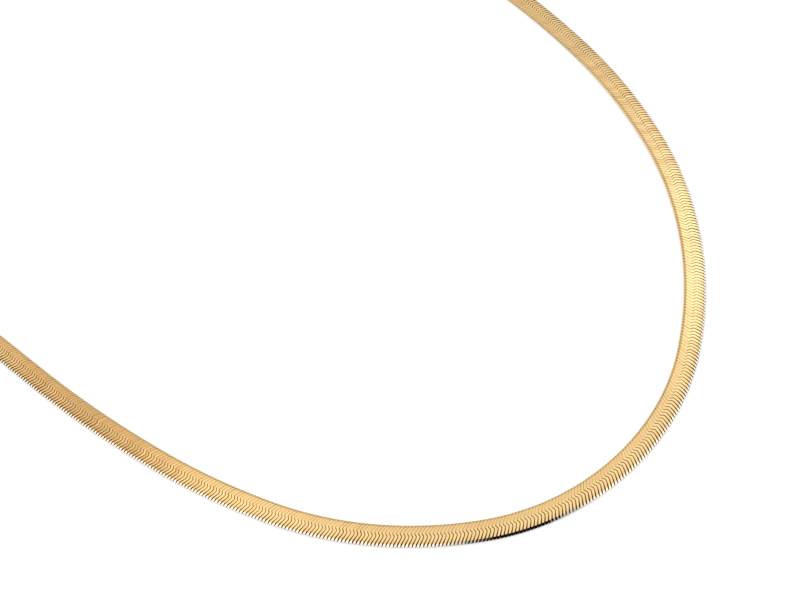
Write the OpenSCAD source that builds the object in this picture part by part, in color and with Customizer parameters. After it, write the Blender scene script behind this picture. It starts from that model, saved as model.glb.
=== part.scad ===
// Flat herringbone neck chain, lying closed on a table.
// The loop is seen from above with its clasp at the back (+Y) and its front towards -Y.
// The woven band is one solid here: the outer form of several hundred Z-shaped links.

/* [Woven band] */
// Width of the flat band
band_w = 4.2; // [3.4:0.1:4.6]
// Thickness of the flat band
band_t = 0.95; // [0.9:0.05:1.1]
// Width of the bevel along each edge of the band
bevel_w = 0.43; // [0.3:0.01:0.5]
// Height of the bevel along each edge of the band
bevel_h = 0.4; // [0.3:0.01:0.42]

/* [Hidden back of the loop] */
// Radius of the two back corners of the loop
back_r = 52; // [48:0.5:52]
// Turn of the right back corner, in degrees
right_turn = 84; // [80:1:88]
// Length of the straight stretch at the end of the left arm
left_arm = 49; // [46:1:52]

/* [End tips] */
// Length of the cap that holds the end of the band
cap_l = 3; // [2.8:0.1:3.4]
// Thickness of the tongue that carries the eye
tongue_t = 0.45; // [0.35:0.05:0.5]
// Distance from the cap to the centre of the eye
tongue_l = 3.4; // [3.2:0.1:3.6]
// Radius of the hole in the eye
eye_r = 1; // [1:0.05:1.1]
// Width of the metal round the hole
eye_rim = 0.45; // [0.4:0.05:0.5]

/* [Jump rings] */
// Radius of each ring, to the middle of its wire
ring_r = 1.95; // [1.9:0.05:2.05]
// Radius of the ring wire
wire_r = 0.3; // [0.25:0.01:0.3]
// Lean of each ring away from upright, in degrees
ring_lean = 50; // [44:1:51]

/* [Lobster clasp] */
// Width of the clasp across its belly
clasp_w = 5.2; // [5:0.1:5.6]
// Thickness of the clasp at its belly
clasp_t = 2.6; // [2.5:0.1:2.8]
// Distance from the eye of the clasp to the tip of its nose
clasp_l = 9.6; // [9.4:0.1:10]

/* [Hidden] */

gold = [0.93, 0.74, 0.42];
gap = 0.06;

// Bends of the front, in travel order, clockwise seen from above
// Columns: radius, turn in degrees
RADIUS = 0;
TURN = 1;
front_bends = [
    [200, 11.5],
    [120, 13.5],
    [81, 36],
    [46, 68],
    [75, 30.5],
    [148, 9.5],
    [260, 7.5],
];

// Poses along the loop are [x, y, heading], with headings in degrees from +X
HEADING = 2;

// Pose after a clockwise bend
function after_bend(p, r, turn) =
    let (h = p[HEADING], k = h - turn)
    [p.x + r * (sin(h) - sin(k)), p.y - r * (cos(h) - cos(k)), k];

// Pose after a straight stretch
function after_straight(p, l) =
    [p.x + l * cos(p[HEADING]), p.y + l * sin(p[HEADING]), p[HEADING]];

// A leg is [radius, turn] for a bend and [0, length] for a straight stretch
function after_leg(p, leg) =
    leg[RADIUS] > 0 ? after_bend(p, leg[RADIUS], leg[TURN]) : after_straight(p, leg[TURN]);

// Poses at the start of each leg and at the end of the last one
function poses(legs, p, i = 0) =
    i == len(legs) ? [p] : concat([p], poses(legs, after_leg(p, legs[i]), i + 1));

function last(v) = v[len(v) - 1];
function sum(v, i = 0) = i == len(v) ? 0 : v[i] + sum(v, i + 1);

// Closing the loop: the right arm takes up the depth, the back straight the width
front_turn = sum([for (b = front_bends) b[TURN]]);
left_turn = 360 - right_turn - front_turn;
open_legs = concat([[back_r, right_turn]], front_bends, [[0, left_arm], [back_r, left_turn]]);
open_end = last(poses(open_legs, [0, 0, 0]));
right_arm = open_end.y / sin(right_turn);
back_straight = -open_end.x - right_arm * cos(right_turn);

// Clasp set along the back straight, measured from the middle of the straight
// Each ring passes through its two eyes about hold_z above the table
// The right ring lies hook_hold behind the bar of the hook
bar_z = clasp_t / 2;
eye_z = 1.2;
hold_z = (bar_z + eye_z) / 2;
ring_z = ring_r * cos(ring_lean) + wire_r;
ring_drop = (ring_z - hold_z) / cos(ring_lean);
ring_reach = sqrt(pow(ring_r, 2) - pow(ring_drop, 2));
hook_bar = 1.1;
hook_w = 3;
hook_hold = 1.4;
hook_x = clasp_l - hook_bar - hook_hold;
tip_l = cap_l + tongue_l;
set_l = hook_x + 4 * ring_reach + 2 * tip_l;
clasp_eye_x = tip_l + 2 * ring_reach - set_l / 2;
band_end = (back_straight - set_l) / 2;

// Legs of the woven band, from the right end tip round to the left one
band_legs = concat(
    [[0, band_end], [back_r, right_turn], [0, right_arm]],
    front_bends,
    [[0, left_arm], [back_r, left_turn], [0, band_end]]
);
band_start = [set_l / 2, 0, 0];
band_poses = poses(band_legs, band_start);

// Poses from end to end of the band, close together on the bends
pose_step = 4;
function steps(leg) = leg[RADIUS] > 0 ? ceil(leg[RADIUS] * leg[TURN] * PI / 180 / pose_step) : 1;
route = concat(
    [band_start],
    [
        for (i = [0 : len(band_legs) - 1])
            for (k = [1 : steps(band_legs[i])])
                after_leg(band_poses[i], [band_legs[i][RADIUS], band_legs[i][TURN] * k / steps(band_legs[i])])
    ]
);

// Middle of the loop's box, which is the origin
half_w = band_w / 2;
back_half = max(half_w, clasp_w / 2);
mid_x = (min([for (p = route) p.x]) + max([for (p = route) p.x])) / 2;
mid_y = (min([for (p = route) p.y]) - half_w + max([for (p = route) p.y]) + back_half) / 2;

module at_pose(p) {
    translate([p.x - mid_x, p.y - mid_y, 0])
        rotate([0, 0, p[HEADING]])
            children();
}

// Section of the band, standing on the table, with all four edges bevelled
face_half = half_w - bevel_w;
section = [
    [face_half, 0],
    [half_w, bevel_h],
    [half_w, band_t - bevel_h],
    [face_half, band_t],
    [-face_half, band_t],
    [-half_w, band_t - bevel_h],
    [-half_w, bevel_h],
    [-face_half, 0],
];

// The section set across a pose: its first coordinate runs to the left of the heading
function section_at(p) = [
    for (q = section)
        [p.x - mid_x - q.x * sin(p[HEADING]), p.y - mid_y + q.x * cos(p[HEADING]), q.y]
];

// Solid swept through the section at every pose of a route
module sweep(route) {
    n = len(section);
    m = len(route);
    points = [for (p = route) each section_at(p)];
    sides = [
        for (i = [0 : m - 2])
            for (j = [0 : n - 1])
                [i * n + j, (i + 1) * n + j, (i + 1) * n + (j + 1) % n, i * n + (j + 1) % n]
    ];
    start_cap = [for (j = [0 : n - 1]) j];
    end_cap = [for (j = [n - 1 : -1 : 0]) (m - 1) * n + j];
    polyhedron(points, concat([start_cap], sides, [end_cap]));
}

// Narrowed end of the band, which fills the pocket of an end tip
pocket_l = 2.2;
pocket_wall = 0.25;
pocket_w = band_w - 2 * pocket_wall;
pocket_t = 0.5;

module band_plug() {
    translate([-pocket_l + gap, -pocket_w / 2 + gap, (band_t - pocket_t) / 2 + gap])
        cube([pocket_l, pocket_w - 2 * gap, pocket_t - 2 * gap]);
}

module herringbone_chain() {
    color(gold) {
        sweep(route);
        at_pose(band_start)
            band_plug();
        at_pose(last(route))
            rotate([0, 0, 180])
                band_plug();
    }
}

// End tip with its mouth at x = 0 and its tongue along -X, bent up to the ring
tongue_root = 0.4;
tongue_x = -cap_l + 0.3;
tongue_rise = atan((eye_z - band_t / 2) / tongue_l);
tongue_out = tongue_l / cos(tongue_rise);

module tongue_outline() {
    hull() {
        translate([-tongue_root, -face_half])
            square([tongue_root, 2 * face_half]);
        translate([-tongue_out, 0])
            circle(eye_r + eye_rim, $fn = 48);
    }
}

module end_tip() {
    difference() {
        union() {
            translate([-cap_l, 0, 0])
                rotate([90, 0, 90])
                    linear_extrude(cap_l - gap)
                        polygon(section);
            translate([tongue_x, 0, band_t / 2])
                rotate([0, tongue_rise, 0])
                    translate([0, 0, -tongue_t / 2])
                        linear_extrude(tongue_t)
                            tongue_outline();
        }
        translate([-pocket_l, -pocket_w / 2, (band_t - pocket_t) / 2])
            cube([pocket_l + 1, pocket_w, pocket_t]);
        translate([tongue_x - tongue_l, 0, eye_z])
            rotate([0, tongue_rise, 0])
                cylinder(r = eye_r, h = 2, center = true, $fn = 48);
    }
}

module end_tip_right() {
    color(gold)
        at_pose([set_l / 2, 0, 0])
            end_tip();
}

module end_tip_left() {
    color(gold)
        at_pose([-set_l / 2, 0, 180])
            end_tip();
}

// Ring that leans over with its lowest point on the table
module jump_ring(x) {
    at_pose([x, ring_drop * sin(ring_lean), 0])
        translate([0, 0, ring_z])
            rotate([90 - ring_lean, 0, 0])
                rotate_extrude($fn = 64)
                    translate([ring_r, 0])
                        circle(wire_r, $fn = 24);
}

module jump_ring_left() {
    color(gold)
        jump_ring(clasp_eye_x - ring_reach);
}

module jump_ring_right() {
    color(gold)
        jump_ring(clasp_eye_x + hook_x + ring_reach);
}

// Lobster clasp with the centre of its eye at x = 0 and its nose along +X
belly_x = 4.4;
nose_r = 2;
nose_t = 1.05;
tail_x = 1.8;
tail_r = 0.8;
hook_start = 4;
clasp_eye_t = 0.7;
clasp_eye_r = 1.1;
clasp_eye_rim = 0.5;

thumb_x = 2.9;
thumb_y = -1.9;
thumb_r = 0.75;

// Round stone shape, r across and t thick
module pebble(x, y, r, t) {
    translate([x, y, 0])
        scale([1, 1, t / (2 * r)])
            sphere(r, $fn = 40);
}

module clasp_body() {
    hull() {
        pebble(belly_x, 0, clasp_w / 2, clasp_t);
        pebble(clasp_l - nose_r, 0, nose_r, nose_t);
        pebble(tail_x, 0, tail_r, nose_t);
    }
}

module clasp_hook_opening() {
    hull() {
        for (x = [hook_start + hook_w / 2, clasp_l - hook_bar - hook_w / 2])
            translate([x, 0, 0])
                cylinder(d = hook_w, h = 2 * clasp_t, center = true, $fn = 32);
    }
}

module lobster_clasp() {
    color(gold)
        at_pose([clasp_eye_x, 0, 0])
            translate([0, 0, bar_z])
                difference() {
                    union() {
                        clasp_body();
                        pebble(thumb_x, thumb_y, thumb_r, nose_t);
                        cylinder(r = clasp_eye_r + clasp_eye_rim, h = clasp_eye_t, center = true, $fn = 48);
                    }
                    cylinder(r = clasp_eye_r, h = clasp_t, center = true, $fn = 48);
                    clasp_hook_opening();
                }
}

herringbone_chain();
end_tip_left();
end_tip_right();
jump_ring_left();
jump_ring_right();
lobster_clasp();
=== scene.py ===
# %% [markdown]
# # A gold herringbone chain
#
# A herringbone chain is a flat ribbon of several hundred bent wire links. Each link is pushed
# through the one before it, and the whole row is pressed flat and polished until it shines like
# one strip of metal. Seen close, every link draws a slanted Z across the ribbon, with a short
# notch in the middle, and the links open into small dark slots along the outer edge of each bend.
#
# This lesson dresses a finished CAD model. The plain solids give the true sizes and places, and
# each step below makes what a solid can't show: the links, the soft metal edges and the gold.

# %% Load the frame
import functools
import math
import random

import bmesh
import bpy
import numpy as np
from mathutils import Matrix, Vector


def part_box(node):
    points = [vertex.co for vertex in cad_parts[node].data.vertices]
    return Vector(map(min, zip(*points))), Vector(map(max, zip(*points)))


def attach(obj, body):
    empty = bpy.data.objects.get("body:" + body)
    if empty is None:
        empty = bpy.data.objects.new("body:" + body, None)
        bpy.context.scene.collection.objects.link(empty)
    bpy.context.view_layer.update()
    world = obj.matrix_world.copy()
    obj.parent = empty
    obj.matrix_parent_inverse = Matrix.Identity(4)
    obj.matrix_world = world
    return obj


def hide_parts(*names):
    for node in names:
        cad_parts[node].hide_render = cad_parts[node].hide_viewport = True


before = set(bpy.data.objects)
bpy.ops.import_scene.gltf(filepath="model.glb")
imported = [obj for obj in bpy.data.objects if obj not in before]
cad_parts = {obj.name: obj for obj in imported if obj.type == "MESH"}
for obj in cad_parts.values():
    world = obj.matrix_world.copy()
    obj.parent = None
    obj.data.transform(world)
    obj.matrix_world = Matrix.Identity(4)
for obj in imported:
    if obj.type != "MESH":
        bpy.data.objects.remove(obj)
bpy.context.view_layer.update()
MM = 0.001


print("CAD nodes:", sorted(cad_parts))

# %% [markdown]
# ## The camera
#
# The chain lies on a table and is seen from in front and above, over the left side of its front.
# The lens, the tilt and the roll decide how fast the ribbon narrows towards the back, so they are
# fixed first. The camera's own axes are built from the way that it looks and then turned by the
# roll, which is plainer than adding up three rotation angles.

# %% Camera
LENS_MM = 69.93
SENSOR_MM = 36
NEAREST_M = 0.01
CAMERA_MM = (-73.17, -191.66, 255.5)
LOOK_DOWN = math.radians(57.3)
ROLL = math.radians(14.8)
LEVEL_LOOK = Vector((0.4571, 0.8894, 0)).normalized()


def camera_axes():
    """Right, up and back axes of a camera that looks down along LEVEL_LOOK and rolls a little."""
    up = Vector((0, 0, 1))
    look = LEVEL_LOOK * math.cos(LOOK_DOWN) - up * math.sin(LOOK_DOWN)
    level_right = look.cross(up).normalized()
    level_up = level_right.cross(look)
    right = level_right * math.cos(ROLL) - level_up * math.sin(ROLL)
    return right, level_right * math.sin(ROLL) + level_up * math.cos(ROLL), -look


def add_object(name, data):
    """New object in the scene, at the origin."""
    thing = bpy.data.objects.new(name, data)
    bpy.context.scene.collection.objects.link(thing)
    return thing


axes = camera_axes()
camera_data = bpy.data.cameras.new("camera")
camera_data.lens = LENS_MM
camera_data.sensor_width = SENSOR_MM
camera_data.clip_start = NEAREST_M
camera = add_object("camera", camera_data)
stand = Matrix.Translation(Vector(CAMERA_MM) * MM)
camera.matrix_world = stand @ Matrix(axes).transposed().to_4x4()
bpy.context.scene.camera = camera
bpy.context.scene.view_settings.view_transform = "Standard"
print("camera looks along", [round(c, 3) for c in -axes[2]])

# %% [markdown]
# ## The route of the ribbon
#
# The ribbon lies as a lopsided oval, and a few bends of one radius each are enough to draw it.
# They could be traced as a free curve, but bends with a radius and a turn are how the CAD source
# describes the loop too, so the same short table gives both exactly the same line.
# Lengths in this part are millimetres. A pose is a place and a heading, and the route runs
# clockwise, from the right end tip round the front to the left end tip.

# %% Route
BAND_W = 4.2
BAND_T = 0.95
BEVEL_H = 0.4
# Bends at the front: radius, turn in degrees
FRONT_BENDS = [(200, 11.5), (120, 13.5), (81, 36), (46, 68), (75, 30.5), (148, 9.5), (260, 7.5)]
BACK_R = 52
RIGHT_TURN = 84
LEFT_TURN = 360 - RIGHT_TURN - sum(turn for _, turn in FRONT_BENDS)
LEFT_ARM = 49
# The CAD source works these out: the arm and the ends that close the loop, the length of the
# clasp with its rings and tips, and the middle of the loop's box
RIGHT_ARM = 39.3478
BAND_END = 2.01503
SET_L = 27.468
LOOP_MIDDLE = (2.46358, -100.565)

LEGS = [(0, BAND_END), (BACK_R, RIGHT_TURN), (0, RIGHT_ARM)]
LEGS += FRONT_BENDS
LEGS += [(0, LEFT_ARM), (BACK_R, LEFT_TURN), (0, BAND_END)]


def leg_length(leg):
    """Length of a bend (radius, turn in degrees) or of a straight stretch (0, length)."""
    radius, turn = leg
    return math.radians(turn) * radius if radius else turn


def go_on(pose, leg, length):
    """Pose that is reached by going length along a leg."""
    x, y, heading = pose
    radius = leg[0]
    if not radius:
        return (x + length * math.cos(heading), y + length * math.sin(heading), heading)
    new = heading - length / radius
    return (
        x + radius * (math.sin(heading) - math.sin(new)),
        y - radius * (math.cos(heading) - math.cos(new)),
        new,
    )


def pose_at(distance):
    """Pose at a distance along the ribbon. It runs straight on past either end."""
    pose = (SET_L / 2 - LOOP_MIDDLE[0], -LOOP_MIDDLE[1], 0.0)
    for leg in LEGS[:-1]:
        length = leg_length(leg)
        if distance <= length:
            return go_on(pose, leg, distance)
        pose = go_on(pose, leg, length)
        distance -= length
    return go_on(pose, LEGS[-1], distance)


BAND_L = sum(leg_length(leg) for leg in LEGS)
print("ribbon length, mm:", round(BAND_L, 1))

# %% [markdown]
# ## One link
#
# A link is a bent wire that goes once round the ribbon: over the top, down the outer side, back
# under and up the inner side. It begins as a ring of points, one for each station round the
# ribbon's section. The ring is extruded along the ribbon to make the pressed face of the wire,
# then inwards at both edges to make its two flanks, and it is closed on the inside.
# An extruded ring keeps a few dozen faces, which matters because the link is repeated 800 times.
#
# Each station also says how wide the slot beside the wire is. The slots are hair-thin on the
# inner half of the ribbon, a little wider at the notch, and widest at the outer shoulder. At the
# outer rim and on the underside the wires nearly touch, so the outline stays smooth and no light
# comes up through the ribbon. The same table says how much of the wire is pressed flat. Beside
# the flat part the wire turns down into the slot, and there it mirrors its neighbour.

# %% Stations of a link
PITCH = 0.662
# The links stay this far inside the CAD solid, in mm
INSIDE = 0.01
LINK_W = BAND_W - 2 * INSIDE
LINK_T = BAND_T - 2 * INSIDE
LINK_BASE = INSIDE
SLOT_DEPTH = 0.3
UNDER_SLOT = 0.04
# Painted shade on the underside and the upper half of the rims, and on their lower half
PAINTED_SHADE = 0.03
LOW_PAINTED_SHADE = 0.075
# Stations on the flat top and on the flat underside, as shares of the width from its middle
TOP_SHARES = (-0.2, -0.1, -0.05, 0.0, 0.05, 0.12, 0.25, 0.385)
UNDER_SHARES = (0.39, 0.12, -0.1, -0.39)
# Stations on the rounded shoulders: distance in from the rim and down from the top, in mm
INNER_EDGE = [(0.535, 0.0), (0.40, 0.055), (0.10, 0.24)]
OUTER_EDGE = [(0.40, 0.03), (0.12, 0.289)]
# How the flanks run inwards from a shoulder and from a rim: across the ribbon, up or down
FROM_SHOULDER = (0.6, 0.8)
FROM_RIM = (0.9, 0.4)

# Columns: share of the width from the inner edge to the outer one, width of the slot in mm,
# half width of the flat part in half pitches, share of second-hand light on the flat part
SLOT, FLAT, SECOND = 1, 2, 3
SLOT_TABLE = [
    (-0.5, 0.03, 0.75, 0.1),
    (-0.475, 0.08, 0.66, 0.1),
    (-0.4, 0.08, 0.66, 0.1),
    (-0.366, 0.055, 0.72, 0.32),
    (-0.2, 0.035, 0.74, 0.32),
    (-0.1, 0.045, 0.66, 0.2),
    (-0.05, 0.13, 0.46, 0),
    (0.0, 0.12, 0.46, 0),
    (0.05, 0.08, 0.50, 0),
    (0.12, 0.09, 0.52, 0),
    (0.25, 0.14, 0.46, 0),
    (0.385, 0.21, 0.36, 0),
    (0.42, 0.26, 0.34, 0),
    (0.47, 0.22, 0.40, 0),
    (0.5, 0.02, 0.9, 0),
]


def link_stations():
    """(across, height, inward direction, painted shade) of each station, clockwise seen along the
    ribbon.
    """
    half, top = LINK_W / 2, LINK_BASE + LINK_T

    def edge(side, facets):
        slope = (-side * FROM_SHOULDER[0], -FROM_SHOULDER[1])
        found = [(side * (half - back), top - drop, slope, 0) for back, drop in facets]
        inward, tilt = -side * FROM_RIM[0], FROM_RIM[1]
        found.append((side * half, top - BEVEL_H, (inward, -tilt), PAINTED_SHADE))
        found.append((side * half, LINK_BASE + BEVEL_H, (inward, tilt), LOW_PAINTED_SHADE))
        return found

    stations = [(share * LINK_W, top, (0, -1), 0) for share in TOP_SHARES]
    stations += edge(1, OUTER_EDGE)
    stations += [(share * LINK_W, LINK_BASE, (0, 1), PAINTED_SHADE) for share in UNDER_SHARES]
    stations += reversed(edge(-1, INNER_EDGE))
    return stations


print("stations round one link:", len(link_stations()))

# %% Make a link
def between(table, place, column=1):
    """Value of one column of a table at a place, or values at an array of places."""
    return np.interp(place, [row[0] for row in table], [row[column] for row in table])


def keep_mesh(bm, name):
    """Puts a bmesh into a new mesh and frees it."""
    mesh = bpy.data.meshes.new(name)
    bm.to_mesh(mesh)
    bm.free()
    return mesh


def extrude_ring(bm, ring, number):
    """Extrudes a closed ring, and gives its new points and the new edges round the ring."""
    new = bmesh.ops.extrude_edge_only(bm, edges=ring)["geom"]
    verts = [g for g in new if isinstance(g, bmesh.types.BMVert)]
    edges = [g for g in new if isinstance(g, bmesh.types.BMEdge)]
    return verts, [e for e in edges if e.verts[0][number] != e.verts[1][number]]


def make_link():
    """Straight link: X runs along the ribbon, Y across it and Z up."""
    stations = link_stations()
    bm = bmesh.new()
    station = bm.verts.layers.int.new("station")
    deep = bm.verts.layers.float.new("deep")
    flat = bm.verts.layers.float.new("flat")
    second = bm.verts.layers.float.new("second")
    bmesh.ops.create_circle(bm, segments=len(stations), radius=1)
    bm.verts.ensure_lookup_table()
    for i, vert in enumerate(bm.verts):
        vert[station] = i
    first = list(bm.edges)

    def place(verts, side, depth):
        for vert in verts:
            across, height, inward, station_shade = stations[vert[station]]
            share = across / LINK_W
            on_top = height > BAND_T / 2
            width = PITCH - (between(SLOT_TABLE, share, SLOT) if on_top else UNDER_SLOT)
            vert.co = (
                side * width / 2,
                across + inward[0] * depth,
                height + inward[1] * depth,
            )
            # Painted shade: the station's own, growing with the depth into the slot
            vert[deep] = max(station_shade, depth / SLOT_DEPTH)
            vert[flat] = between(SLOT_TABLE, share, FLAT)
            vert[second] = between(SLOT_TABLE, share, SECOND)

    place(bm.verts, -1, SLOT_DEPTH)
    ring = first
    for side, depth in ((-1, 0), (1, 0), (1, SLOT_DEPTH)):
        verts, ring = extrude_ring(bm, ring, station)
        place(verts, side, depth)
    bmesh.ops.bridge_loops(bm, edges=first + ring)
    bmesh.ops.recalc_face_normals(bm, faces=bm.faces)
    return keep_mesh(bm, "link")


link = make_link()
print("faces of one link:", len(link.polygons))

# %% [markdown]
# ## The woven ribbon
#
# The links follow each other at one even pitch. Their line across the ribbon isn't straight:
# both halves slant forward on the way out, and a short reverse step joins them, which gives the
# Z shape. That line is put in while the link is set in place, so that it can straighten out at
# the two ends, where the end tips close over the ribbon. There each wire is drawn a little wider
# on one side and narrower on the other, so that the slots keep their width while the line turns.
# In a bend each link is also bowed to the bend's own curve, which keeps the outline round.
#
# A real ribbon is never perfectly even. Every link is tipped by a fraction of a degree, a few
# slots stand a little wider, whole stretches lie more open or more closed than others, and the
# ribbon as a whole rolls very slightly along its length.
# Small turns like these change what a polished face mirrors, so the ribbon glitters. Where a
# stretch lies closed, the wires are also pressed flatter and mirror less of each other.

# %% Line of the links, and their unevenness
# Columns: share of the width from the inner edge to the outer one, step ahead in pitches
Z_LINE = [
    (-0.5, -1.10),
    (-0.4, -0.80),
    (-0.3, -0.45),
    (-0.2, 0.00),
    (-0.1, 0.34),
    (-0.05, 0.28),
    (0.0, 0.02),
    (0.05, -0.12),
    (0.1, -0.13),
    (0.2, 0.12),
    (0.3, 0.42),
    (0.4, 0.72),
    (0.5, 1.02),
]
# From either end the line is straight for the first length and full after the second one, in mm
END_STRAIGHT = 0.4
STRAIGHTEN = 6.0
# Columns: distance along the ribbon in mm, how far the slots stand open, 1 as in the slot table
OPEN_SLOTS = [
    (0, 1.0),
    (130, 1.0),
    (150, 0.93),
    (168, 0.95),
    (205, 0.82),
    (222, 0.7),
    (238, 0.88),
    (252, 0.9),
    (268, 1.0),
    (310, 1.0),
    (335, 0.88),
    (360, 1.0),
    (390, 1.1),
    (BAND_L, 1.0),
]
# How much wider the flat part of a wire is, in half pitches, where its slots are quite closed
FLATTER = 0.3
# How much of the second-hand light is lost there
CLEARER = 2.5
# In degrees: spread of the links' own tip and roll, and height of the ribbon's slow roll
TIP_SPREAD = 0.5
ROLL_SPREAD = 0.05
SLOW_ROLL = 0.25
# The slow roll's waves: mm along the ribbon for each radian, and shift from wave to wave
WAVE_LENGTHS = (3.1, 7.7, 19)
WAVE_SHIFT = 1.3
# Share by which a wire is narrowed: most wires hardly, and one in five more
EVEN_RANGE = (0, 0.02)
NARROW_RANGE = (0.03, 0.09)
NARROW_ODDS = 0.2
SEED = 7
LINK_COUNT = round(BAND_L / PITCH)
EVEN_PITCH = BAND_L / LINK_COUNT
print("links:", LINK_COUNT, "even pitch, mm:", round(EVEN_PITCH, 4))

# %% Set a link in place
dice = random.Random(SEED)


def slow_wave(distance):
    """Smooth uneven wave between about -1 and 1."""
    waves = [math.sin(distance / d + WAVE_SHIFT * i) for i, d in enumerate(WAVE_LENGTHS, 1)]
    return sum(waves) / len(waves)


def half_curvature(distance):
    """Half of the ribbon's curvature per mm, from the headings half a millimetre to each side."""
    return (pose_at(distance - 0.5)[2] - pose_at(distance + 0.5)[2]) / 2


def set_link(corner, z_line, distance, closed):
    """Corners of a link that is set in place, and how far along the ribbon each of them lies."""
    to_end = min(distance, BAND_L - distance)
    slant = min(1, max(0, to_end - END_STRAIGHT) / STRAIGHTEN)
    swing = math.copysign(1 / STRAIGHTEN, BAND_L / 2 - distance) if 0 < slant < 1 else 0
    tip = math.radians(dice.gauss(0, TIP_SPREAD))
    roll = math.radians(SLOW_ROLL * slow_wave(distance) + dice.gauss(0, ROLL_SPREAD))
    shares = NARROW_RANGE if dice.random() < NARROW_ODDS else EVEN_RANGE
    narrow = dice.uniform(*shares)
    half_slot = np.sign(corner[:, 0]) * (PITCH / 2 - np.abs(corner[:, 0]))
    length = corner[:, 0] + closed * half_slot
    along = length * (1 - narrow) * (1 + swing * z_line) + slant * z_line
    across = corner[:, 1] - half_curvature(distance) * along**2
    up = corner[:, 2] + corner[:, 0] * math.tan(tip) + corner[:, 1] * math.tan(roll)
    x, y, heading = pose_at(distance)
    c, s = math.cos(heading), math.sin(heading)
    placed = np.stack([x + along * c - across * s, y + along * s + across * c, up], axis=1)
    return placed, distance + along


print("one link in", round(1 / NARROW_ODDS), "is narrowed by", NARROW_RANGE)

# %% Weave the links
def weave(link):
    """All links of the ribbon as one mesh, with a map along the ribbon and a few marks."""
    corner = np.array([v.co for v in link.vertices])
    deep, flat, second = (
        np.array([d.value for d in link.attributes[name].data])
        for name in ("deep", "flat", "second")
    )
    z_line = PITCH * between(Z_LINE, corner[:, 1] / LINK_W)
    marks = {name: [] for name in ("deep", "flat", "second", "side", "tone")}
    places, spreads = [], []
    for i in range(LINK_COUNT):
        distance = (i + 0.5) * EVEN_PITCH
        closed = 1 - between(OPEN_SLOTS, distance)
        placed, along = set_link(corner, z_line, distance, closed)
        places.append(placed)
        spreads.append(np.stack([along, corner[:, 1] / BAND_W + 0.5], axis=1))
        marks["deep"].append(deep)
        marks["flat"].append(flat + FLATTER * closed)
        marks["second"].append(second * (1 - CLEARER * closed))
        marks["side"].append(corner[:, 0] / (PITCH / 2))
        marks["tone"].append(np.full(len(corner), dice.random()))
    co = np.concatenate(places)
    co[:, 2] = np.clip(co[:, 2], 0, BAND_T)
    shifts = [i * len(corner) for i in range(LINK_COUNT)]
    faces = [tuple(v + shift for v in p.vertices) for shift in shifts for p in link.polygons]
    mesh = bpy.data.meshes.new("herringbone_links")
    mesh.from_pydata((co * MM).tolist(), [], faces)
    for name, values in marks.items():
        attribute = mesh.attributes.new(name, "FLOAT", "POINT")
        attribute.data.foreach_set("value", np.concatenate(values))
    corners = np.zeros(len(mesh.loops), dtype=np.int32)
    mesh.loops.foreach_get("vertex_index", corners)
    ribbon_map = np.concatenate(spreads)[corners]
    mesh.uv_layers.new(name="ribbon").data.foreach_set("uv", ribbon_map.ravel())
    return mesh


links_mesh = weave(link)
print("triangles of the links:", 2 * len(links_mesh.polygons))

# %% [markdown]
# ## The heart of the ribbon
#
# Between the links the eye looks down on the inner bends of the wires, which overlap like roof
# tiles. They lie in shade and are too dark and too deep to tell apart, so one strip painted dark
# as shade stands for all of them.
# The strip is the ribbon's section made smaller by the depth of a slot, carried along the route,
# and its ends reach into the pockets of the two end tips.

# %% Sweep the heart
# About how far the poses lie apart, and how far the strip runs past both ends, in mm
HEART_STEP = 2.5
HEART_REACH = 2.0
# Faces that meet at a larger angle keep a sharp edge between them
SHARP_ANGLE = math.radians(8)


def sweep_heart():
    """Dark inner strip, with its shape given pose by pose."""
    half_w, half_t = BAND_W / 2 - SLOT_DEPTH, BAND_T / 2 - SLOT_DEPTH
    corners = [(half_w, half_t), (-half_w, half_t), (-half_w, -half_t), (half_w, -half_t)]
    bm = bmesh.new()
    bmesh.ops.create_circle(bm, segments=len(corners), radius=1)
    bm.verts.ensure_lookup_table()
    number = bm.verts.layers.int.new("corner")
    for i, vert in enumerate(bm.verts):
        vert[number] = i
    verts, ring = list(bm.verts), list(bm.edges)
    bmesh.ops.contextual_create(bm, geom=ring)
    length = BAND_L + 2 * HEART_REACH
    steps = round(length / HEART_STEP)
    for k in range(steps + 1):
        if k:
            verts, ring = extrude_ring(bm, ring, number)
            ring = [e for e in ring if e.verts[0] in verts and e.verts[1] in verts]
        x, y, heading = pose_at(-HEART_REACH + k * length / steps)
        for vert in verts:
            across, up = corners[vert[number]]
            vert.co = (
                x - across * math.sin(heading),
                y + across * math.cos(heading),
                BAND_T / 2 + up,
            )
    bmesh.ops.contextual_create(bm, geom=ring)
    bmesh.ops.recalc_face_normals(bm, faces=bm.faces)
    bmesh.ops.scale(bm, vec=(MM, MM, MM), verts=bm.verts)
    return bm


def join_ribbon(links_mesh, heart):
    """Adds the links to the heart, whose own faces take the second material."""
    for face in heart.faces:
        face.material_index = 1
    heart.from_mesh(links_mesh)
    mesh = keep_mesh(heart, "woven_ribbon")
    mesh.shade_smooth()
    mesh.set_sharp_from_angle(angle=SHARP_ANGLE)
    return mesh


ribbon = add_object("woven_ribbon", join_ribbon(links_mesh, sweep_heart()))

# %% [markdown]
# ## End tips, rings and clasp
#
# The small parts at the back come from the CAD model with the right shape but with the hard
# edges of a drawing. Polished gold never has a hard edge. A copy of each solid is merged into one
# skin, remeshed finely and smoothed a little, which rounds all edges at once, as a polishing
# wheel does. Building them again by hand would only repeat the CAD work.
# A ring is rounder if it is spun afresh: one circle of wire, carried once round.

# %% Polished copies
# Columns: CAD node, name of its copy, cell size of the new skin in mm, rounds of smoothing
COPIES = [
    ("end_tip_left", "polished_end_tip_left", 0.05, 9),
    ("end_tip_right", "polished_end_tip_right", 0.05, 9),
    ("lobster_clasp", "polished_clasp", 0.06, 16),
]
# Points that lie closer than this are one point, in metres
WELD = 1e-7
SMOOTHING = 0.5


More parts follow.
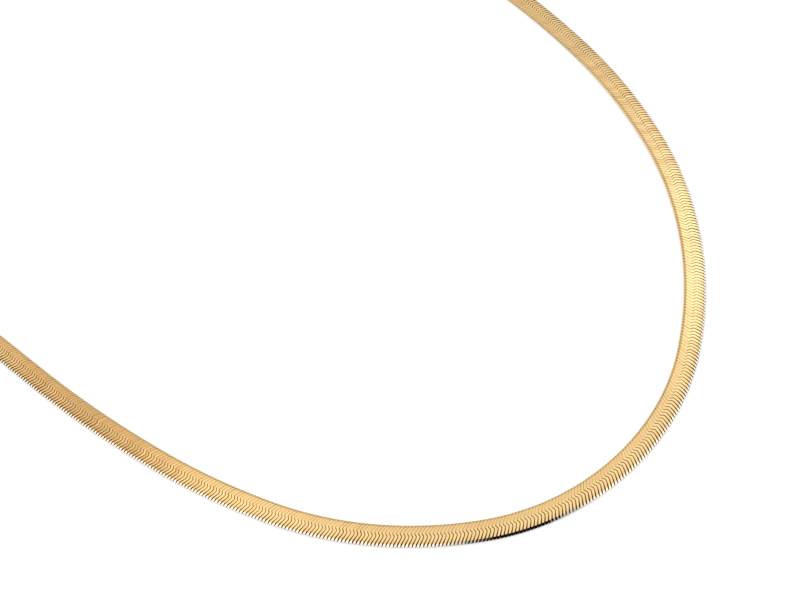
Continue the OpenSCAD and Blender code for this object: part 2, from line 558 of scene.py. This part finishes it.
def polished_copy(node, name, cell, rounds):
    """Smooth copy of a CAD node with softly rounded edges."""
    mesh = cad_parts[node].data.copy()
    mesh.name = name
    bm = bmesh.new()
    bm.from_mesh(mesh)
    bmesh.ops.remove_doubles(bm, verts=bm.verts, dist=WELD)
    bm.to_mesh(mesh)
    bm.free()
    piece = add_object(name, mesh)
    remesh = piece.modifiers.new("remesh", "REMESH")
    remesh.mode = "VOXEL"
    remesh.voxel_size = cell * MM
    evaluated = piece.evaluated_get(bpy.context.evaluated_depsgraph_get())
    skin = bpy.data.meshes.new_from_object(evaluated)
    piece.modifiers.clear()
    bm = bmesh.new()
    bm.from_mesh(skin)
    axes_on = {"use_axis_x": True, "use_axis_y": True, "use_axis_z": True}
    for _ in range(rounds):
        bmesh.ops.smooth_vert(bm, verts=bm.verts, factor=SMOOTHING, **axes_on)
    bm.to_mesh(skin)
    bm.free()
    skin.shade_smooth()
    skin.materials.clear()
    piece.data = skin
    return piece


polished = {}
for node, name, cell, rounds in COPIES:
    polished[node] = polished_copy(node, name, cell, rounds)
    print(name, "faces:", len(polished[node].data.polygons))

# %% Spun rings
# Radius to the middle of the wire, radius of the wire, and how far a ring leans from upright
RING_R = 1.95
WIRE_R = 0.3
RING_LEAN = math.radians(50)
WIRE_SIDES = 16
RING_STEPS = 64


def spin_ring(name, node):
    """Wire ring spun about its own axis, then leaned and set where the CAD ring lies."""
    low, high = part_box(node)
    bm = bmesh.new()
    bmesh.ops.create_circle(bm, segments=WIRE_SIDES, radius=WIRE_R)
    bmesh.ops.rotate(bm, verts=bm.verts, matrix=Matrix.Rotation(math.pi / 2, 3, "X"))
    bmesh.ops.translate(bm, verts=bm.verts, vec=(RING_R, 0, 0))
    bmesh.ops.spin(
        bm,
        geom=bm.verts[:] + bm.edges[:],
        cent=(0, 0, 0),
        axis=(0, 0, 1),
        angle=2 * math.pi,
        steps=RING_STEPS,
        use_merge=True,
    )
    bmesh.ops.rotate(bm, verts=bm.verts, matrix=Matrix.Rotation(math.pi / 2 - RING_LEAN, 3, "X"))
    bmesh.ops.scale(bm, vec=(MM, MM, MM), verts=bm.verts)
    bmesh.ops.translate(bm, verts=bm.verts, vec=(low + high) / 2)
    bmesh.ops.recalc_face_normals(bm, faces=bm.faces)
    mesh = keep_mesh(bm, name)
    mesh.shade_smooth()
    return add_object(name, mesh)


for node in ("jump_ring_left", "jump_ring_right"):
    polished[node] = spin_ring("spun_" + node, node)
    print(node, "faces:", len(polished[node].data.polygons))

# %% [markdown]
# ## Gold
#
# Polished gold has no colour of its own apart from the tint that it gives to what it mirrors.
# What makes it look worn and real is small: fine hairlines from handling, a soft smear here and
# there, and one link a shade paler than the next. These go into one shared node group, so that
# the ribbon and the clasp are the same metal.
#
# A shader is a graph of small nodes. A few helpers keep the graphs short: one gives a node its
# numbers, its colours and its links to other nodes, and the others name the kinds of node that
# come back often.

# %% Helpers for shaders
def feed(tree, node, values):
    """Sets inputs of a node to numbers or colours, or links them to sockets of other nodes."""
    for key, value in values.items():
        if isinstance(value, bpy.types.NodeSocket):
            tree.links.new(value, node.inputs[key])
        else:
            node.inputs[key].default_value = value


def add_node(tree, kind, values=None, **settings):
    """New shader node. Its settings come first, since they decide which inputs it has."""
    node = tree.nodes.new("ShaderNode" + kind)
    for name, setting in settings.items():
        setattr(node, name, setting)
    feed(tree, node, values or {})
    return node


def calculate(tree, operation, a, b=0.0):
    """Result of one operation on one value or two."""
    return add_node(tree, "Math", {0: a, 1: b}, operation=operation).outputs["Value"]


def ramp(tree, value, start, end, low=0.0, high=1.0, kind="SMOOTHSTEP"):
    """Change from low to high while value goes from start to end."""
    values = {"Value": value, "From Min": start, "From Max": end, "To Min": low, "To Max": high}
    return add_node(tree, "MapRange", values, interpolation_type=kind).outputs["Result"]


def noise(tree, place, scale, detail=2.0):
    """Cloudy value, mostly between 0 and 1."""
    values = {"Vector": place, "Scale": scale, "Detail": detail}
    return add_node(tree, "TexNoise", values).outputs["Fac"]


def blend_colours(tree, share, a, b, way="MIX"):
    """Colour a with a share of colour b mixed in, or multiplied in."""
    values = {"Factor": share, "A": a, "B": b}
    return add_node(tree, "Mix", values, data_type="RGBA", blend_type=way).outputs["Result"]


def new_material(name, constants):
    """Material, its node tree and its shader, with constants on the shader's own sockets."""
    material = bpy.data.materials.new(name)
    material.use_nodes = True
    shader = material.node_tree.nodes["Principled BSDF"]
    feed(material.node_tree, shader, constants)
    return material, material.node_tree, shader


print("shader helpers ready, materials so far:", len(bpy.data.materials))

# %% Shared gold group
# Smears: cells per metre, fineness, and the noise values from smooth to dull
SMEAR_SCALE = 260
SMEAR_DETAIL = 3
SMEAR_RANGE = (0.35, 0.7)
# Hairlines: their direction, and cells per metre along them, across them and in depth
HAIR_ANGLE = math.radians(33)
HAIR_STRETCH = (900, 9000, 3000)
GROUP_INPUTS = [
    ("Vector", "NodeSocketVector"),
    ("Gold", "NodeSocketColor"),
    ("Pale", "NodeSocketColor"),
    ("Tone", "NodeSocketFloat"),
    ("Smooth", "NodeSocketFloat"),
    ("Dull", "NodeSocketFloat"),
]
GROUP_OUTPUTS = [
    ("Color", "NodeSocketColor"),
    ("Roughness", "NodeSocketFloat"),
    ("Height", "NodeSocketFloat"),
]


def make_group(name, inputs, outputs):
    """Empty node group, with the nodes inside it for its inputs and its outputs."""
    group = bpy.data.node_groups.new(name, "ShaderNodeTree")
    for title, kind in inputs:
        group.interface.new_socket(title, in_out="INPUT", socket_type=kind)
    for title, kind in outputs:
        group.interface.new_socket(title, in_out="OUTPUT", socket_type=kind)
    return group, group.nodes.new("NodeGroupInput"), group.nodes.new("NodeGroupOutput")


def handled_gold_group():
    """Hairlines, smears and a slight change of tint over gold."""
    group, inside, outside = make_group("handled_gold", GROUP_INPUTS, GROUP_OUTPUTS)
    given = inside.outputs
    smear = noise(group, given["Vector"], SMEAR_SCALE, SMEAR_DETAIL)
    stretch = {"Vector": given["Vector"], "Rotation": (0, 0, HAIR_ANGLE), "Scale": HAIR_STRETCH}
    hair = noise(group, add_node(group, "Mapping", stretch).outputs["Vector"], 1)
    tint = blend_colours(group, given["Tone"], given["Gold"], given["Pale"])
    rough = ramp(group, smear, *SMEAR_RANGE, given["Smooth"], given["Dull"], kind="LINEAR")
    feed(group, outside, {"Color": tint, "Roughness": rough, "Height": hair})
    return group


handled_gold = handled_gold_group()
print("sockets out:", [s.name for s in handled_gold.interface.items_tree if s.in_out == "OUTPUT"])

# %% Gold materials
GOLD = (1.0, 0.705, 0.335, 1)
PALE_GOLD = (1.0, 0.735, 0.37, 1)
HALF_PALE = 0.5
# Depth of a hairline, in mm
HAIR_DEPTH = 0.01


def gold_material(name, smooth, dull, hairline):
    """Polished metal that takes its tint, gloss and hairlines from the shared group."""
    material, tree, shader = new_material(name, {"Metallic": 1})
    wanted = {
        "Vector": add_node(tree, "TexCoord").outputs["Object"],
        "Gold": GOLD,
        "Pale": PALE_GOLD,
        "Tone": HALF_PALE,
        "Smooth": smooth,
        "Dull": dull,
    }
    gold = add_node(tree, "Group", wanted, node_tree=handled_gold)
    relief = {"Strength": hairline, "Distance": HAIR_DEPTH * MM, "Height": gold.outputs["Height"]}
    hairlines = add_node(tree, "Bump", relief)
    finish = {
        "Base Color": gold.outputs["Color"],
        "Roughness": gold.outputs["Roughness"],
        "Normal": hairlines.outputs["Normal"],
    }
    feed(tree, shader, finish)
    return material, gold, hairlines


polished_gold, _, _ = gold_material("polished_gold", smooth=0.08, dull=0.16, hairline=0.15)
woven_gold, woven_group, woven_hairlines = gold_material(
    "woven_gold", smooth=0.07, dull=0.13, hairline=0.1
)
print("gold materials:", polished_gold.name, woven_gold.name)

# %% [markdown]
# The flanks of the links sink into shadow, and that shade is painted: the tint is mixed towards a
# dark brown with the depth that each point of the link carries, so they are nearly black at the
# bottom. The underside and the rims get a little of the same painted shade.
#
# Where the wire turns down beside its flat part it no longer mirrors the room but the gold next
# to it, and gold seen in gold is a deep amber. So the tint is laid on twice there, with a soft
# start. Drawing this by tracing light back and forth would need far rounder wires.
# Two small things finish the wire: its face is crowned by a few thousandths of a millimetre,
# which a bump gives, and the outer edge is painted pale, a painted highlight that whitens its
# glints.

# %% Worn edges and dark flanks
# Dark brown of the painted shade in the slots and in the heart
PAINTED_SLOT_SHADE = (0.03, 0.012, 0.004, 1)
# Depth at which the flank's painted shade is quite brown, as a share of the slot's depth
BROWN_DEPTH = 0.08
# Paler gold painted on the outer edge, a painted highlight
PAINTED_GLINT_GOLD = (1.0, 0.95, 0.86, 1)
# Shares of the ribbon's width between which the painted highlight on the outer edge begins
GLINT_FROM = 0.9
GLINT_FULL = 0.92
GOLD_IN_GOLD = (0.70, 0.48, 0.22, 1)
# Width of its soft start beside the flat part, in half pitches
TURN_WIDTH = 0.4
# Height of the wire's crown, in mm
LINK_CROWN = 0.006


def mark(tree, name):
    """Value that the points of the links carry under a name."""
    return add_node(tree, "Attribute", attribute_name=name).outputs["Fac"]


def finish_links(material, gold, hairlines):
    """Gives the gold its painted pale edge, its second-hand light and its painted shade, link by
    link.
    """
    tree = material.node_tree
    side = mark(tree, "side")
    place = add_node(tree, "UVMap", uv_map="ribbon").outputs["UV"]
    across = add_node(tree, "SeparateXYZ", {"Vector": place}).outputs["Y"]
    # Painted highlight: paler gold on the outer edge
    painted_glint = ramp(tree, across, GLINT_FROM, GLINT_FULL, kind="LINEAR")
    colour = blend_colours(tree, painted_glint, gold.outputs["Color"], PAINTED_GLINT_GOLD)
    past_flat = calculate(
        tree, "SUBTRACT", calculate(tree, "ABSOLUTE", side), mark(tree, "flat")
    )
    turned_down = ramp(tree, past_flat, 0, TURN_WIDTH)
    second_hand = calculate(tree, "MAXIMUM", turned_down, mark(tree, "second"))
    colour = blend_colours(tree, second_hand, colour, GOLD_IN_GOLD, "MULTIPLY")
    # Painted shade: towards a dark brown with the depth into the slot, and on the underside and
    # rims
    painted_depth_shade = ramp(tree, mark(tree, "deep"), 0, BROWN_DEPTH, kind="LINEAR")
    colour = blend_colours(tree, painted_depth_shade, colour, PAINTED_SLOT_SHADE)
    relief = {"Height": calculate(tree, "MULTIPLY", side, side), "Distance": LINK_CROWN * MM}
    crown = add_node(tree, "Bump", relief, invert=True)
    feed(tree, hairlines, {"Normal": crown.outputs["Normal"]})
    feed(tree, gold, {"Tone": mark(tree, "tone")})
    feed(tree, tree.nodes["Principled BSDF"], {"Base Color": colour})


finish_links(woven_gold, woven_group, woven_hairlines)
ribbon.data.materials.append(woven_gold)
for piece in polished.values():
    piece.data.materials.append(polished_gold)
print("nodes of the woven gold:", len(woven_gold.node_tree.nodes))

# %% Heart material
HEART_ROUGHNESS = 0.6
HEART_SPECKLE = 4000
# Brown of the painted shade in the heart
HEART_PAINTED_SHADE = (0.05, 0.025, 0.011, 1)


def heart_material():
    """Metal in the depth of the ribbon, painted dark brown as shade."""
    constants = {"Metallic": 1, "Roughness": HEART_ROUGHNESS}
    material, tree, shader = new_material("shadowed_gold", constants)
    speckle = noise(tree, add_node(tree, "TexCoord").outputs["Object"], HEART_SPECKLE)
    feed(tree, shader, {"Base Color": blend_colours(tree, speckle, PAINTED_SLOT_SHADE, HEART_PAINTED_SHADE)})
    return material


ribbon.data.materials.append(heart_material())
print("materials:", sorted(m.name for m in bpy.data.materials if m.users))

# %% [markdown]
# ## Studio light
#
# A mirror-like ribbon shows the room more than it shows itself, so the light is a room. It is
# bright all round and a little dimmer low down, with two low white panels, left and right of the
# place where the photographer stands. Between the panels is one narrow dark gap, and it gives
# the crisp black line on the outer shoulder at the very front. On the far side a window hangs
# high up, which gives the pale stretch on the right, and next to it a softer patch and a soft
# shade play over the front and the left arm. The panels and the far left of the room are a
# little warmer, so that the gold stays golden from every side. The window's daylight is a little
# cooler, and in gold it looks lemon instead of orange.
#
# The room is written as a brightness for each direction, from smooth steps and soft round
# patches. Lamps could do the same, but their edges would show as hard shapes in the gold.

# %% Plan of the room
# Angles are degrees. Around counts from the photographer's side, counter-clockwise as seen from
# above, and rise counts up from the table. A step is (start, end, value before, value after).
NEAR_SIDE = math.radians(-117.2)
WALLS = [(36, 57, 0.66, 0.96), (54, 62, 0, 0.07), (63, 66, 0, -0.06)]
# A patch is (around, rise, spread around, spread up, brightness). A shade takes light away.
WINDOW = (160.5, 56.2, 5.5, 2.2, 0.85)
WINDOW_SILL = (52.5, 55.2, 0, 1)
SOFT_PATCH = (-163, 62.3, 5, 2.4, 0.35)
SOFT_SHADE = (-158, 57.3, 2.8, 2.8, -0.45)
LEFT_PANEL = [(-100, -80, 0, 1), (-23, -10.5, 1, 0)]
RIGHT_PANEL = [(25, 34, 0, 1), (60, 85, 1, 0.6), (108, 125, 1, 0)]
PANEL_TOP = (30, 45, 1, 0)
PANEL_LIGHT = 0.7
# The gap's sides are steps over the angle from its middle
GAP_MIDDLE = 4.3
GAP_SIDES = (13.7, 14.3, 1, 0)
GAP_HEIGHT = [(56, 60, 1, 0), (-1, 1, 0, 1)]
# The warm wall lies beyond the half turn, so its steps count around from 0 to 360
WARM_SIDES = [(186, 205, 0, 1), (225, 245, 1, 0)]
WARM_HEIGHT = (51, 57, 0.4, 1)
WHITE = (1, 1, 1, 1)
WARM = (1, 0.87, 0.75, 1)
COOL = (0.93, 1.03, 1.16, 1)
print("width of the dark gap, degrees:", GAP_SIDES[0] + GAP_SIDES[1])

# %% Light the room
def combine(tree, operation, values):
    """One value from several, by adding or multiplying them in turn."""
    return functools.reduce(lambda a, b: calculate(tree, operation, a, b), values)


def smooth_steps(tree, angle, rows):
    """One smooth step over an angle for each row."""
    return [ramp(tree, angle, *row) for row in rows]


def room_angles(tree):
    """Angles around and rise of each direction."""
    place = add_node(tree, "TexCoord").outputs["Generated"]
    turn = add_node(tree, "VectorRotate", {"Vector": place, "Angle": -NEAR_SIDE}).outputs["Vector"]
    parts = add_node(tree, "SeparateXYZ", {"Vector": turn}).outputs
    around = calculate(tree, "ARCTAN2", parts["Y"], parts["X"])
    rise = calculate(tree, "ARCSINE", parts["Z"])
    return [calculate(tree, "MULTIPLY", angle, 180 / math.pi) for angle in (around, rise)]


def soft_patch(tree, around, rise, patch):
    """Soft round patch of light."""
    middle_around, middle_rise, wide, tall, brightness = patch
    a = calculate(tree, "DIVIDE", calculate(tree, "SUBTRACT", around, middle_around), wide)
    b = calculate(tree, "DIVIDE", calculate(tree, "SUBTRACT", rise, middle_rise), tall)
    square = combine(tree, "ADD", [calculate(tree, "MULTIPLY", c, c) for c in (a, b)])
    fall = calculate(tree, "EXPONENT", calculate(tree, "MULTIPLY", square, -1.0))
    return calculate(tree, "MULTIPLY", fall, brightness)


def light_room():
    """World whose brightness and tint follow the plan."""
    world = bpy.data.worlds.new("room")
    bpy.context.scene.world = world
    world.use_nodes = True
    tree = world.node_tree
    around, rise = room_angles(tree)
    walls = combine(tree, "ADD", smooth_steps(tree, rise, WALLS))
    window = soft_patch(tree, around, rise, WINDOW)
    window = calculate(tree, "MULTIPLY", window, ramp(tree, rise, *WINDOW_SILL))
    patch = soft_patch(tree, around, rise, SOFT_PATCH)
    shade = soft_patch(tree, around, rise, SOFT_SHADE)
    left = combine(tree, "MULTIPLY", smooth_steps(tree, around, LEFT_PANEL))
    right = combine(tree, "MULTIPLY", smooth_steps(tree, around, RIGHT_PANEL))
    both = calculate(tree, "ADD", left, right)
    panels = combine(tree, "MULTIPLY", [both, ramp(tree, rise, *PANEL_TOP), PANEL_LIGHT])
    level = combine(tree, "ADD", [walls, window, patch, shade, panels])
    from_middle = calculate(tree, "ABSOLUTE", calculate(tree, "SUBTRACT", around, GAP_MIDDLE))
    gap = [ramp(tree, from_middle, *GAP_SIDES), *smooth_steps(tree, rise, GAP_HEIGHT)]
    lit = calculate(tree, "SUBTRACT", 1.0, combine(tree, "MULTIPLY", gap))
    full_turn = calculate(tree, "FLOORED_MODULO", around, 360)
    wall = [*smooth_steps(tree, full_turn, WARM_SIDES), ramp(tree, rise, *WARM_HEIGHT)]
    warm = calculate(tree, "MAXIMUM", combine(tree, "MULTIPLY", wall), panels)
    tint = blend_colours(tree, window, blend_colours(tree, warm, WHITE, WARM), COOL)
    light = {"Strength": calculate(tree, "MULTIPLY", level, lit), "Color": tint}
    feed(tree, tree.nodes["Background"], light)
    return tree


room = light_room()
print("nodes of the room:", len(room.nodes))

# %% [markdown]
# The table is plain and nearly white. It shines back under the shoulders of the ribbon, and a
# little glow of its own keeps it as even as a light table, so that no shadow spoils the outline.

# %% Table
TABLE_SIDE = 4.0
TABLE_LOOK = {
    "Base Color": (0.92, 0.92, 0.92, 1),
    "Roughness": 0.9,
    "Specular IOR Level": 0,
    "Emission Color": WHITE,
    "Emission Strength": 0.42,
}


def make_table():
    """Flat square sheet under the chain."""
    bm = bmesh.new()
    bmesh.ops.create_grid(bm, x_segments=1, y_segments=1, size=TABLE_SIDE / 2)
    table = add_object("table", keep_mesh(bm, "table"))
    table.data.materials.append(new_material("white_paper", TABLE_LOOK)[0])
    return table


table = make_table()
print("table side, m:", TABLE_SIDE)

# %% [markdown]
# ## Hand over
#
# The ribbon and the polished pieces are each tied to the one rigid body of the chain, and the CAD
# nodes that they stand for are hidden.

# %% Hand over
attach(ribbon, "root")
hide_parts("herringbone_chain")
for node, piece in polished.items():
    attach(piece, "root")
    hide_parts(node)
